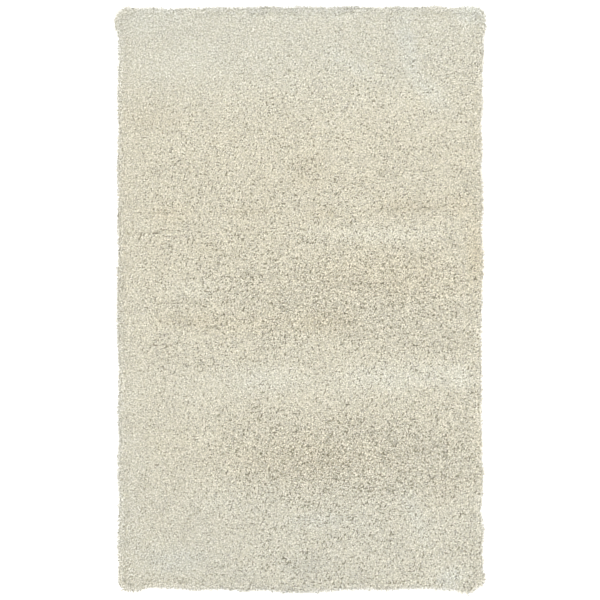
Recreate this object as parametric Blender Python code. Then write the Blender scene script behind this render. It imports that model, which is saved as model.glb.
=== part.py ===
"""A shag rug, about 5 by 8 ft, lying flat with its underside on the floor.

It is one solid: a lumpy slab of pile with a flat underside, and a row of pile locks round its rim. Each lock
is a tapered, four-sided tuft whose root is fused into the slab's wall, and it stands apart from its
neighbours beyond that. Units are metres, +Z is up, the rug's length runs along Y, and the origin is in the
middle of the underside.
"""

import math

import bmesh
import bpy
import numpy as np
from mathutils import Vector, geometry, noise

# The rug's plan, measured to the pile's outer edge.
WIDTH = 1.524
LENGTH = 2.438
ROUNDING = 0.045  # radius of the plan's corners

# The pile, from the floor up.
PILE_HEIGHT = 0.0355  # mean height of the pile's top
LUMP_HEIGHT = 0.003  # how far the broad lumps rise or sink
TUFT_HEIGHT = 0.0045  # how far single tufts rise or sink on the lumps
LUMP_SPAN = 0.17  # from one broad lump to the next
TUFT_PITCH = 0.044  # between the tufts modelled on the top
SOLE_PITCH = 0.26  # between the points that carry the flat underside

# The rim: the wall that the locks grow from, and the shoulder where the rim meets the top.
WALL_INSET = 0.024
WALL_HEIGHT = 0.025
SHOULDER_INSET = 0.034
SHOULDER_HEIGHT = 0.0325
RIM_UNEVENNESS = 0.0022

# The locks.
LOCK_COUNT = 282
LOCK_BEND = 0.55  # where a lock bends, as a share of its reach
LOCK_BEND_WIDTH = 0.80  # its width at the bend, as a share of the root's
LOCK_TIP_WIDTH = 0.42
LOCK_BEND_TOP = 0.021
LOCK_TIP_TOP = 0.0095
LOCK_LENGTH_SPREAD = 0.004
LOCK_SWAY = 0.0045  # how far a tip may lean along the rim
LOCK_LIFT = 0.007  # how far the underside of a raised lock's tip clears the floor

# How far the rim bows out (+) or in (-), going anticlockwise: along each edge as (share of the way along it,
# metres), and round each corner as (metres along the rim from the corner's middle, metres).
EDGE_WAVES = {
    "near": [
        (0.07, -0.0125), (0.10, -0.011), (0.15, -0.008), (0.19, -0.001), (0.27, -0.0065), (0.34, 0.003),
        (0.385, -0.004), (0.47, 0.008), (0.54, 0.006), (0.60, -0.002), (0.67, -0.0065), (0.755, -0.003),
        (0.79, -0.0075), (0.86, -0.010), (0.91, -0.0055),
    ],
    "right": [
        (0.06, -0.001), (0.085, 0.007), (0.12, -0.007), (0.155, 0.001), (0.195, 0.005), (0.22, -0.005),
        (0.24, 0.002), (0.28, -0.005), (0.37, -0.004), (0.46, -0.005), (0.53, 0.001), (0.565, 0.004),
        (0.62, -0.004), (0.66, 0.002), (0.70, 0.001), (0.735, -0.006), (0.76, 0.001), (0.81, -0.006),
        (0.85, 0.001), (0.90, 0.000), (0.94, 0.005),
    ],
    "far": [
        (0.07, 0.0035), (0.10, 0.008), (0.19, 0.003), (0.215, 0.009), (0.265, 0.003), (0.365, 0.008),
        (0.405, 0.003), (0.46, 0.006), (0.56, 0.0045), (0.59, 0.008), (0.66, 0.0035), (0.76, 0.0035),
        (0.80, -0.0005), (0.85, 0.002), (0.87, -0.0025), (0.92, 0.000),
    ],
    "left": [
        (0.06, -0.0015), (0.095, -0.0025), (0.135, 0.002), (0.18, -0.0015), (0.27, 0.003), (0.305, -0.0015),
        (0.36, 0.0025), (0.42, -0.004), (0.445, 0.003), (0.51, 0.004), (0.555, 0.0035), (0.62, -0.003),
        (0.66, -0.004), (0.70, 0.0005), (0.755, -0.006), (0.78, -0.0005), (0.82, -0.0005), (0.85, -0.006),
        (0.91, -0.0005), (0.94, 0.0015),
    ],
}
CORNER_WAVES = {
    "near_right": [
        (-0.100, -0.004), (-0.080, 0.006), (-0.042, 0.012), (-0.010, -0.004), (0.020, 0.006), (0.043, 0.017),
        (0.058, 0.012), (0.078, 0.001), (0.092, 0.006),
    ],
    "far_right": [
        (-0.110, 0.003), (-0.085, 0.0145), (-0.035, 0.014), (-0.010, 0.019), (0.015, 0.012), (0.045, 0.008),
        (0.080, 0.009), (0.095, 0.005),
    ],
    "far_left": [
        (-0.110, 0.0035), (-0.075, 0.001), (-0.045, 0.004), (0.000, 0.009), (0.025, 0.0155), (0.058, 0.016),
        (0.080, 0.0065), (0.105, 0.000),
    ],
    "near_left": [(-0.100, -0.001), (-0.050, 0.000), (0.075, 0.001), (0.110, -0.0125)],
}

SEED = 41
IVORY = (0.66, 0.62, 0.50, 1.0)


def clear_scene():
    for old in list(bpy.data.objects):
        bpy.data.objects.remove(old, do_unlink=True)


def ivory_yarn():
    material = bpy.data.materials.new("ivory_yarn")
    material.use_nodes = True
    shader = material.node_tree.nodes["Principled BSDF"]
    shader.inputs["Base Color"].default_value = IVORY
    shader.inputs["Roughness"].default_value = 0.95
    shader.inputs["Metallic"].default_value = 0.0
    return material


class Rim:
    """The rug's plan: a rounded rectangle with a wavy rim, walked anticlockwise from the near left corner."""

    def __init__(self):
        half_width, half_length = WIDTH / 2 - ROUNDING, LENGTH / 2 - ROUNDING
        centres = [(half_width, -half_length), (half_width, half_length)]
        centres += [(-half_width, half_length), (-half_width, -half_length)]
        straights = [2 * half_width, 2 * half_length] * 2
        arc = ROUNDING * math.pi / 2
        self.parts, self.knots = [], []
        along, heading = 0.0, 0.0
        for edge, corner, straight, centre in zip(EDGE_WAVES, CORNER_WAVES, straights, centres):
            self.parts.append((along, straight, "edge", centre, heading))
            self.knots += [(along + share * straight, bow) for share, bow in EDGE_WAVES[edge]]
            along += straight
            self.parts.append((along, arc, "corner", centre, heading))
            self.knots += [(along + arc / 2 + past, bow) for past, bow in CORNER_WAVES[corner]]
            along += arc
            heading += math.pi / 2
        self.length = along

    def wave(self, along):
        """How far the rim bows out at this place."""
        places, bows = zip(*self.knots)
        return float(np.interp(along, places, bows, period=self.length))

    def place(self, along, inset):
        """The point that far along the rim and that far inside it, and the outward direction there."""
        along %= self.length
        start, span, kind, centre, heading = next(part for part in reversed(self.parts) if part[0] <= along)
        turn = heading + (math.pi / 2 * (along - start) / span if kind == "corner" else 0.0)
        outward = Vector((math.sin(turn), -math.cos(turn)))
        forward = Vector((math.cos(heading), math.sin(heading)))
        base = Vector(centre) - forward * (start + span - along if kind == "edge" else 0.0)
        return base + outward * (ROUNDING + self.wave(along) - inset), outward


def fill(ring, pitch, height_at):
    """Points and triangles of a surface inside a ring of 3-D points, with more points on a triangular
    lattice of that pitch. The ring's points come first."""
    low = [min(point[k] for point in ring) for k in (0, 1)]
    high = [max(point[k] for point in ring) for k in (0, 1)]
    corners = [Vector(point[:2]) for point in ring]
    row_pitch = pitch * math.sqrt(3) / 2
    points = [Vector(point) for point in ring]
    for row in range(1, int((high[1] - low[1]) / row_pitch)):
        y = low[1] + row * row_pitch
        for column in range(int((high[0] - low[0]) / pitch) + 1):
            x = low[0] + (column + 0.5 * (row % 2)) * pitch
            spot = Vector((x, y))
            clearance = min((spot - corner).length for corner in corners)
            if clearance > 0.6 * pitch and inside(spot, corners):
                points.append(Vector((x, y, height_at(x, y))))
    flat = [point.xy for point in points]
    loop = list(range(len(ring)))
    triangles = geometry.delaunay_2d_cdt(flat, [], [loop], 1, 1e-6)[2]
    return points, triangles


def inside(spot, corners):
    crossings = 0
    for a, b in zip(corners, corners[1:] + corners[:1]):
        if (a.y > spot.y) != (b.y > spot.y):
            crossings += spot.x < a.x + (spot.y - a.y) * (b.x - a.x) / (b.y - a.y)
    return crossings % 2 == 1


def pile_height(random):
    """A function that gives the height of the pile's top at a place, with its broad lumps and tufts."""

    def height_at(x, y):
        lump = noise.noise(Vector((x, y, 0.0)) / LUMP_SPAN * 2)
        return PILE_HEIGHT + LUMP_HEIGHT * 2 * lump + TUFT_HEIGHT * random.uniform(-1, 1)

    return height_at


def add_lock(bm, root, outward, reach, random):
    """Grows one lock from its root, four vertices of the wall given as top left, top right, bottom right,
    bottom left seen from outside. It droops to the floor, or to just above it."""
    along = Vector((-outward.y, outward.x))
    middle = (root[0].co.xy + root[1].co.xy) / 2
    half = (root[1].co.xy - root[0].co.xy).length / 2
    sway = random.uniform(-LOCK_SWAY, LOCK_SWAY)
    lift = max(0.0, random.uniform(-LOCK_LIFT, LOCK_LIFT))
    sections = [root]
    for share, width, top in (
        (LOCK_BEND, LOCK_BEND_WIDTH, LOCK_BEND_TOP),
        (1.0, LOCK_TIP_WIDTH, LOCK_TIP_TOP),
    ):
        centre = middle + outward * reach * share + along * sway * share**2
        top += lift * share + random.uniform(-RIM_UNEVENNESS, RIM_UNEVENNESS)
        side = along * half * width
        corners = [(-side, top), (side, top), (side, lift * share), (-side, lift * share)]
        sections.append([bm.verts.new((centre + off).to_3d() + Vector((0, 0, z))) for off, z in corners])
    for inner, outer in zip(sections, sections[1:]):
        for k in range(4):
            m = (k + 1) % 4
            bm.faces.new((inner[m], inner[k], outer[k], outer[m]))
    bm.faces.new(reversed(sections[-1]))


def rug_mesh():
    random = np.random.default_rng(SEED)
    rim = Rim()
    pitch = rim.length / LOCK_COUNT
    stations = [(k + random.uniform(-0.12, 0.12)) * pitch for k in range(LOCK_COUNT)]

    def ring(inset, height, unevenness):
        points = []
        for along in stations:
            spot, _ = rim.place(along, inset)
            points.append(spot.to_3d() + Vector((0, 0, height + random.uniform(-1, 1) * unevenness)))
        return points

    bm = bmesh.new()
    sole_points, sole_faces = fill(ring(WALL_INSET, 0.0, 0.0), SOLE_PITCH, lambda x, y: 0.0)
    top_points, top_faces = fill(
        ring(SHOULDER_INSET, SHOULDER_HEIGHT, RIM_UNEVENNESS), TUFT_PITCH, pile_height(random)
    )
    sole = [bm.verts.new(point) for point in sole_points]
    top = [bm.verts.new(point) for point in top_points]
    wall = [bm.verts.new(point) for point in ring(WALL_INSET, WALL_HEIGHT, RIM_UNEVENNESS)]
    for face in sole_faces:
        bm.faces.new([sole[k] for k in reversed(face)])
    for face in top_faces:
        bm.faces.new([top[k] for k in face])
    for k in range(LOCK_COUNT):
        m = (k + 1) % LOCK_COUNT
        bm.faces.new((wall[k], wall[m], top[m], top[k]))
        middle = (stations[k] + stations[m] + (rim.length if m == 0 else 0.0)) / 2
        tip, outward = rim.place(middle, 0.0)
        reach = (tip - (wall[k].co.xy + wall[m].co.xy) / 2).length
        reach += random.uniform(-1, 0.6) * LOCK_LENGTH_SPREAD
        add_lock(bm, [wall[k], wall[m], sole[m], sole[k]], outward, reach, random)
    mesh = bpy.data.meshes.new("shag_rug")
    bm.to_mesh(mesh)
    bm.free()
    return mesh


def centre_on_origin(mesh):
    """Puts the middle of the rug's own box on the Z axis, since its rim is uneven."""
    places = np.array([vertex.co for vertex in mesh.vertices])
    middle = (places.min(axis=0) + places.max(axis=0)) / 2
    for vertex in mesh.vertices:
        vertex.co -= Vector((middle[0], middle[1], 0.0))


def main():
    clear_scene()
    mesh = rug_mesh()
    centre_on_origin(mesh)
    mesh.materials.append(ivory_yarn())
    rug = bpy.data.objects.new("shag_rug", mesh)
    bpy.context.scene.collection.objects.link(rug)
    mesh.shade_smooth()
    mesh.set_sharp_from_angle(angle=math.radians(60))


main()
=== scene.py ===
# An ivory shag rug, about 5 by 8 ft, lying flat: pile tufts over a lumpy bed, on a woven backing cloth.
import math

import bmesh
import bpy
import numpy as np
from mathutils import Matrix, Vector, geometry, kdtree, noise
from mathutils.bvhtree import BVHTree


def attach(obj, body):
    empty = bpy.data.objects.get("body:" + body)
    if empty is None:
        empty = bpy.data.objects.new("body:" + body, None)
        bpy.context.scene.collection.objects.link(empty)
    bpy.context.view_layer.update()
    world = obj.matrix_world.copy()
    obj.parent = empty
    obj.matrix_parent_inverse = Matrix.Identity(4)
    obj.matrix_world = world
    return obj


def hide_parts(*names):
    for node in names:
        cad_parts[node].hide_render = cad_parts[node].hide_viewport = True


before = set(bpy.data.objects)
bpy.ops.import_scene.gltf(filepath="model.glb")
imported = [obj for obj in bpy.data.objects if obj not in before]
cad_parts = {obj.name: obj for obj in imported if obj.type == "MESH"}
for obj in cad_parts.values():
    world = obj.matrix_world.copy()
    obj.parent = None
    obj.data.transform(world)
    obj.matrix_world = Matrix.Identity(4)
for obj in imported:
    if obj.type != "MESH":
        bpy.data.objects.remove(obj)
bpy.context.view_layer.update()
rugNode = "shag_rug"
print("frame loaded:", sorted(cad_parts))


# The camera looks straight down, framed as the photo is.
photoView = {
    "pixels": 600,
    "metresPerPixel": 0.00419,
    "distance": 7.0,
    "rimLevel": 0.008,  # the height of the rim's tips, where the scale above holds
    "sensor": 36.0,
}


def makeCamera(s):
    data = bpy.data.cameras.new("camera")
    data.sensor_width = s["sensor"]
    data.lens = s["distance"] * s["sensor"] / (s["pixels"] * s["metresPerPixel"])
    data.clip_end = 4 * s["distance"]
    camera = bpy.data.objects.new("camera", data)
    camera.location = (0.0, 0.0, s["distance"] + s["rimLevel"])
    bpy.context.scene.collection.objects.link(camera)
    bpy.context.scene.camera = camera


# A pale floor under even light from all round, with a soft sun from the far left.
studio = {
    "floorSize": 40.0,
    "floorColour": (0.93, 0.93, 0.93, 1.0),
    "floorRoughness": 0.9,
    "floorGlow": 0.30,  # a lit backdrop, so that the rug's shadow on it is faint
    "worldStrength": 1.66,
    "sunStrength": 1.70,
    "sunAngle": 3.0,  # degrees across: how soft its shadows are
    "sunTilt": 40.0,  # degrees from overhead
    "sunSide": 140.0,  # degrees anticlockwise from +X to where it stands
}


def makeStudio(s):
    bpy.ops.mesh.primitive_plane_add(size=s["floorSize"])
    floor = bpy.context.object
    floor.name = "floor"
    paint = bpy.data.materials.new("floorPaint")
    paint.use_nodes = True
    shader = paint.node_tree.nodes["Principled BSDF"]
    shader.inputs["Base Color"].default_value = s["floorColour"]
    shader.inputs["Roughness"].default_value = s["floorRoughness"]
    shader.inputs["Emission Color"].default_value = s["floorColour"]
    shader.inputs["Emission Strength"].default_value = s["floorGlow"]
    floor.data.materials.append(paint)
    world = bpy.data.worlds.new("studio")
    world.use_nodes = True
    world.node_tree.nodes["Background"].inputs["Color"].default_value = (1.0, 1.0, 1.0, 1.0)
    world.node_tree.nodes["Background"].inputs["Strength"].default_value = s["worldStrength"]
    bpy.context.scene.world = world
    light = bpy.data.lights.new("sun", "SUN")
    light.energy = s["sunStrength"]
    light.angle = math.radians(s["sunAngle"])
    sun = bpy.data.objects.new("sun", light)
    sun.rotation_euler = (0.0, math.radians(s["sunTilt"]), math.radians(s["sunSide"]))
    bpy.context.scene.collection.objects.link(sun)
    bpy.context.scene.view_settings.view_transform = "Standard"


makeCamera(photoView)
makeStudio(studio)
print("camera and studio made")


# The rug's plan: a rounded rectangle whose rim bows out (+) and in (-), anticlockwise from near left.
plan = {
    "width": 1.524,
    "length": 2.438,
    "rounding": 0.045,
    "boxStations": 1000,  # points of the rim that the rug's box is taken from
    # along each edge: (share of the way along it, metres)
    "edgeWaves": {
        "near": [
            (0.07, -0.0135), (0.10, -0.0120), (0.15, -0.0090), (0.19, -0.0020), (0.27, -0.0075),
            (0.34, 0.0020), (0.385, -0.0050), (0.47, 0.0070), (0.54, 0.0050), (0.60, -0.0030),
            (0.67, -0.0075), (0.755, -0.0040), (0.79, -0.0085), (0.86, -0.0110), (0.91, -0.0065),
        ],
        "right": [
            (0.06, -0.001), (0.085, 0.007), (0.12, -0.007), (0.155, 0.001), (0.195, 0.005),
            (0.22, -0.005), (0.24, 0.002), (0.28, -0.005), (0.37, -0.004), (0.46, -0.005),
            (0.53, 0.001), (0.565, 0.004), (0.62, -0.004), (0.66, 0.002), (0.70, 0.001),
            (0.735, -0.006), (0.76, 0.001), (0.81, -0.006), (0.85, 0.001), (0.90, 0.000),
            (0.94, 0.005),
        ],
        "far": [
            (0.07, 0.0048), (0.10, 0.0093), (0.19, 0.0043), (0.215, 0.0103),
            (0.265, 0.0043), (0.365, 0.0093), (0.405, 0.0043), (0.46, 0.0073),
            (0.56, 0.0058), (0.59, 0.0093), (0.66, 0.0048), (0.76, 0.0048),
            (0.80, 0.0008), (0.85, 0.0033), (0.87, -0.0012), (0.92, 0.0013),
        ],
        "left": [
            (0.06, 0.0004), (0.095, -0.0006), (0.135, 0.0039), (0.18, 0.0004), (0.27, 0.0049),
            (0.305, 0.0004), (0.36, 0.0044), (0.42, -0.0021), (0.445, 0.0049), (0.51, 0.0059),
            (0.555, 0.0054), (0.62, -0.0011), (0.66, -0.0021), (0.70, 0.0024), (0.755, -0.0041),
            (0.78, 0.0014), (0.82, 0.0014), (0.85, -0.0041), (0.91, 0.0014), (0.94, 0.0034),
        ],
    },
    # round each corner: (metres along the rim from the corner's middle, metres)
    "cornerWaves": {
        "nearRight": [
            (-0.100, -0.004), (-0.080, 0.006), (-0.042, 0.012), (-0.010, -0.008), (0.020, 0.005),
            (0.043, 0.015), (0.058, 0.008), (0.078, -0.003), (0.092, 0.003),
        ],
        "farRight": [
            (-0.110, 0.003), (-0.085, 0.0145), (-0.035, 0.014), (-0.010, 0.019), (0.015, 0.012),
            (0.045, 0.008), (0.080, 0.009), (0.095, 0.005),
        ],
        "farLeft": [
            (-0.110, 0.0035), (-0.075, 0.001), (-0.045, 0.004), (0.000, 0.010), (0.025, 0.0165),
            (0.052, 0.0175), (0.074, 0.0155), (0.088, 0.007), (0.105, 0.000),
        ],
        "nearLeft": [(-0.100, -0.001), (-0.050, 0.000), (0.000, 0.003), (0.075, 0.001), (0.110, -0.0125)],
    },
}


def makeRim(s):
    # the plan's straight runs and corner arcs in order, and the knots of how far they bow
    halfWidth, halfLength = s["width"] / 2 - s["rounding"], s["length"] / 2 - s["rounding"]
    centres = [(halfWidth * i, halfLength * j) for i, j in ((1, -1), (1, 1), (-1, 1), (-1, -1))]
    arc = s["rounding"] * math.pi / 2
    rim = {"runs": [], "places": [], "bows": [], "length": 0.0, "middle": np.zeros(2)}
    for k, (edge, corner) in enumerate(zip(s["edgeWaves"].values(), s["cornerWaves"].values())):
        straight = 2 * (halfLength if k % 2 else halfWidth)
        start, heading = rim["length"], k * math.pi / 2
        rim["runs"].append((start, straight, False, centres[k], heading))
        rim["runs"].append((start + straight, arc, True, centres[k], heading))
        rim["places"] += [start + share * straight for share, bow in edge]
        rim["places"] += [start + straight + arc / 2 + past for past, bow in corner]
        rim["bows"] += [bow for place, bow in edge + corner]
        rim["length"] += straight + arc
    around = ringOf(s, rim, s["boxStations"], 0.0)
    rim["middle"] = (around.min(axis=0) + around.max(axis=0)) / 2  # the box is centred on the origin
    return rim


def rimPoint(s, rim, along, inset):
    # the point that far along the rim and that far inside it
    along %= rim["length"]
    bow = float(np.interp(along, rim["places"], rim["bows"], period=rim["length"]))
    start, span, isArc, centre, heading = [run for run in rim["runs"] if run[0] <= along][-1]
    turn = heading + (math.pi / 2 * (along - start) / span if isArc else 0.0)
    back = 0.0 if isArc else start + span - along
    reach = s["rounding"] + bow - inset
    x = centre[0] - back * math.cos(heading) + reach * math.sin(turn)
    y = centre[1] - back * math.sin(heading) - reach * math.cos(turn)
    return x - rim["middle"][0], y - rim["middle"][1]


def ringOf(s, rim, count, inset):
    return np.array([rimPoint(s, rim, k * rim["length"] / count, inset) for k in range(count)])


def latticeInside(ring, pitch, seed, jitter, clear=0.7):
    # points of a jittered triangular lattice inside a ring, none closer to it than that share of the pitch
    random = np.random.default_rng(seed)
    tree = kdtree.KDTree(len(ring))
    for k, (x, y) in enumerate(ring):
        tree.insert((x, y, 0.0), k)
    tree.balance()
    low, high = ring.min(axis=0), ring.max(axis=0)
    following = np.roll(ring, -1, axis=0)
    found = []
    for row, y in enumerate(np.arange(low[1] + pitch / 2, high[1], pitch * math.sqrt(3) / 2)):
        crossing = (ring[:, 1] > y) != (following[:, 1] > y)
        a, b = ring[crossing], following[crossing]
        cuts = np.sort(a[:, 0] + (y - a[:, 1]) * (b[:, 0] - a[:, 0]) / (b[:, 1] - a[:, 1]))
        across = np.arange(low[0], high[0], pitch) + pitch / 2 * (row % 2)
        across = across[np.searchsorted(cuts, across) % 2 == 1]
        shift = random.uniform(-jitter, jitter, (len(across), 2)) * pitch
        for x, (dx, dy) in zip(across, shift):
            if tree.find((x, y, 0.0))[2] > clear * pitch:
                found.append((x + dx, y + dy))
    return np.array(found)


def fillRing(ring, inner):
    # triangles over the points of a ring and of a lattice inside it, numbered in that order
    flat = [Vector(point) for point in np.concatenate([ring, inner])]
    return geometry.delaunay_2d_cdt(flat, [], [list(range(len(ring)))], 1, 1e-7)[2]


def solidOfRings(name, rings, underside, top):
    # a closed mesh: rings of 3-D points from the floor up, filled below and above with more points
    points, faces = [], []
    for ring in rings:
        points += [tuple(point) for point in ring]
    count = len(rings[0])
    topRing = (len(rings) - 1) * count
    for below in range(0, topRing, count):
        above = below + count
        for k in range(count):
            m = (k + 1) % count
            faces.append((below + k, below + m, above + m, above + k))
    for (inner, triangles), base, turned in ((underside, 0, True), (top, topRing, False)):
        first = len(points)
        points += [tuple(point) for point in inner]
        for triangle in triangles:
            face = [base + k if k < count else first + k - count for k in triangle]
            faces.append(tuple(reversed(face)) if turned else tuple(face))
    mesh = bpy.data.meshes.new(name)
    mesh.from_pydata(points, [], faces)
    mesh.validate()
    mesh.shade_smooth()
    piece = bpy.data.objects.new(name, mesh)
    bpy.context.scene.collection.objects.link(piece)
    return piece


rim = makeRim(plan)
print("plan laid out, rim", round(rim["length"], 3), "m round")


# The bed: the pile's dense lower part, a closed lumpy body that the tufts grow from.
bed = {
    "floorGap": 0.0022,  # the backing cloth lies below
    "stations": 700,
    "pitch": 0.0180,
    "pitchBelow": 0.12,
    "jitter": 0.25,  # share of the pitch
    "belowTop": 0.0100,  # from the solid's own top down to the bed
    "evenedOver": 0.040,  # the bed follows the solid's top evened out over this far
    "evenedBy": 0.004,  # but isn't lowered by more than this
    "roughness": 0.0005,
    "roughSpan": 0.017,
    "seed": 7,
    # (how far inside the rim, height), from the floor up
    "sections": [
        (0.0132, 0.0022), (0.0072, 0.0045), (0.0042, 0.0095),
        (0.0057, 0.0145), (0.0107, 0.0180), (0.0202, 0.0200),
    ],
}


def makeBed(s):
    rings = []
    for inset, height in s["sections"]:
        flat = ringOf(plan, rim, s["stations"], inset)
        rings.append(np.column_stack([flat, np.full(len(flat), height)]))
    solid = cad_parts[rugNode]
    tree = BVHTree.FromObject(solid, bpy.context.evaluated_depsgraph_get())
    above = latticeInside(rings[-1][:, :2], s["pitch"], s["seed"], s["jitter"])
    below = latticeInside(rings[0][:, :2], s["pitchBelow"], s["seed"], 0.0)
    heights = []
    for x, y in above:
        solidTop = []
        for k in range(7):  # there and at six places round it
            reach, turn = s["evenedOver"] if k else 0.0, math.pi * k / 3
            spot = Vector((x + reach * math.cos(turn), y + reach * math.sin(turn), 1.0))
            hit = tree.ray_cast(spot, Vector((0.0, 0.0, -1.0)))[0]
            solidTop += [hit.z] if hit else []
        evened = max(solidTop[0] - s["evenedBy"], sum(solidTop) / len(solidTop))
        rough = noise.noise(Vector((x, y, 0.0)) / s["roughSpan"])
        heights.append(evened - s["belowTop"] + s["roughness"] * rough)
    over = np.column_stack([above, heights])
    under = np.column_stack([below, np.full(len(below), s["floorGap"])])
    return solidOfRings(
        "pileBed", rings,
        (under, fillRing(rings[0][:, :2], below)),
        (over, fillRing(rings[-1][:, :2], above)),
    )


pileBed = makeBed(bed)
print("bed made:", len(pileBed.data.polygons), "faces")


# The nap: where the pile is painted lighter or darker as light and shade (and at random), warmer or cooler,
# and which way it leans.
nap = {
    "leanSpan": 0.35,
    "leanShifts": ((3.0, 7.0, 1.0), (8.0, 2.0, 6.0)),  # to other places in the noise
    "lean": 0.30,
    "toneSpan": 0.09,
    "tone": 0.10,
    "warmth": 0.17,
    "warmShift": (9.0, 3.0, 5.0),
    "calmTone": 0.75,
    "falloff": 1.5,  # the higher, the firmer a patch's edge
    # (x, y, half length, half width, turn in degrees, painted lighter (+) or darker (-) as light and shade,
    # warmer (+) or cooler (-))
    "patches": [
        # broad: painted light towards the far end, painted shade towards the near end, and warmth
        (0.00, 1.02, 1.20, 0.38, 0, 0.35, 0.0),
        (0.00, -1.00, 1.20, 0.45, 0, -0.40, 0.0),
        (0.00, 1.12, 1.20, 0.28, 0, 0.0, -0.6),
        (0.00, -1.04, 1.20, 0.32, 0, 0.0, -0.4),
        (0.00, 0.38, 1.00, 0.48, 0, 0.0, 0.25),
        (-0.74, -0.60, 0.10, 0.50, 0, 0.0, -0.3),
        # painted light
        (-0.50, 1.00, 0.25, 0.09, 0, 0.4, -0.2),
        (0.22, 0.98, 0.12, 0.022, -29, 0.7, -0.5),
        (0.54, 0.87, 0.11, 0.045, -45, 0.7, -0.7),
        (0.45, 1.07, 0.13, 0.04, -80, 0.2, -0.7),
        (0.71, 1.20, 0.07, 0.05, 0, 0.8, -0.9),
        (0.20, 0.43, 0.08, 0.018, 0, 0.5, 0.0),
        (0.34, 0.275, 0.29, 0.038, 0, 0.9, -0.5),
        (-0.45, 0.05, 0.13, 0.042, 0, 0.6, -0.3),
        (-0.13, -0.33, 0.16, 0.058, 0, 0.8, -0.6),
        (0.41, -0.32, 0.28, 0.055, 3, 0.9, -0.7),
        (0.68, -0.33, 0.06, 0.045, 0, 0.8, -0.5),
        (-0.44, -0.37, 0.20, 0.10, 0, 0.3, -0.2),
        (-0.37, -0.85, 0.12, 0.018, 0, 0.6, -0.2),
        (-0.52, -1.09, 0.14, 0.06, 0, 0.0, -0.7),
        (0.48, -0.90, 0.14, 0.03, -69, 0.6, -0.5),
        (0.63, -1.16, 0.06, 0.042, 20, 0.7, -1.0),
        (0.75, -0.82, 0.02, 0.21, 0, 0.6, -0.1),
        # painted shade
        (-0.63, 0.76, 0.11, 0.058, 0, -0.6, 0.3),
        (-0.31, 0.79, 0.16, 0.042, 0, -0.3, 0.0),
        (0.03, 0.53, 0.075, 0.075, 0, -0.5, 0.3),
        (-0.54, 0.365, 0.085, 0.033, 0, -0.4, 0.5),
        (-0.20, 0.37, 0.13, 0.021, 0, -0.6, 0.4),
        (0.09, 0.365, 0.075, 0.021, 0, -0.5, 0.4),
        (0.45, 0.39, 0.14, 0.029, 0, -1.1, 0.5),
        (0.67, 0.40, 0.06, 0.042, 0, -0.6, 0.5),
        (-0.36, 0.20, 0.10, 0.033, 0, -0.6, 0.1),
        (0.40, 0.10, 0.35, 0.11, 0, 0.1, 0.4),
        (0.73, 0.21, 0.033, 0.13, 0, -0.5, 0.8),
        (0.125, -0.09, 0.11, 0.058, 0, -0.8, 0.6),
        (-0.48, -0.09, 0.13, 0.033, 0, -0.6, 0.4),
        (0.54, -0.175, 0.19, 0.038, 0, -0.6, 0.1),
        (0.00, -0.66, 0.36, 0.10, 0, -0.35, 0.5),
        (0.52, -0.615, 0.12, 0.038, 5, -0.9, 0.1),
        (0.13, -0.49, 0.38, 0.042, 0, -0.1, 0.1),
        (0.59, -0.79, 0.09, 0.058, 0, -0.6, 0.3),
        (0.02, -1.11, 0.11, 0.05, 0, -1.0, -0.2),
        (-0.25, -1.14, 0.09, 0.038, 0, -0.6, -0.3),
        (0.25, -1.14, 0.10, 0.038, 0, -0.6, 0.0),
        (0.00, -1.21, 0.70, 0.025, 0, -0.5, -0.2),
        # warm or cool only
        (-0.17, -0.09, 0.30, 0.05, 0, 0.0, 0.4),
        (-0.04, 1.20, 0.72, 0.035, 0, -0.1, -0.3),
        (-0.63, 1.16, 0.15, 0.06, 0, 0.0, -0.4),
        (0.10, -0.92, 0.15, 0.033, 0, 0.1, -0.5),
        # the rim: painted shade on the outermost left and far edges, painted light just inside the rim
        (-0.757, 0.00, 0.017, 1.15, 0, -1.8, -0.3),
        (-0.736, 0.00, 0.014, 1.15, 0, 1.2, 0.0),
        (0.736, 0.00, 0.014, 1.15, 0, 0.8, 0.0),
        (-0.04, 1.220, 0.72, 0.018, 0, -1.6, 0.0),
        (0.00, 1.194, 0.72, 0.014, 0, 1.2, 0.0),
        (0.00, -1.192, 0.72, 0.014, 0, 0.5, 0.0),
    ],
    # (x, y, half length, half width, how much smoother (+) or rougher (-) the pile is)
    "calm": [
        (-0.55, 1.10, 0.45, 0.28, 1.0),
        (0.20, 1.15, 0.60, 0.15, 0.5),
        (-0.75, -0.10, 0.12, 1.20, 0.6),
        (-0.55, -0.95, 0.30, 0.40, 0.6),
        (-0.35, -0.36, 0.40, 0.09, 0.6),
        (0.20, 0.02, 0.55, 0.20, -0.5),
        (0.20, -0.65, 0.60, 0.20, -0.6),
    ],
}


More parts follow.
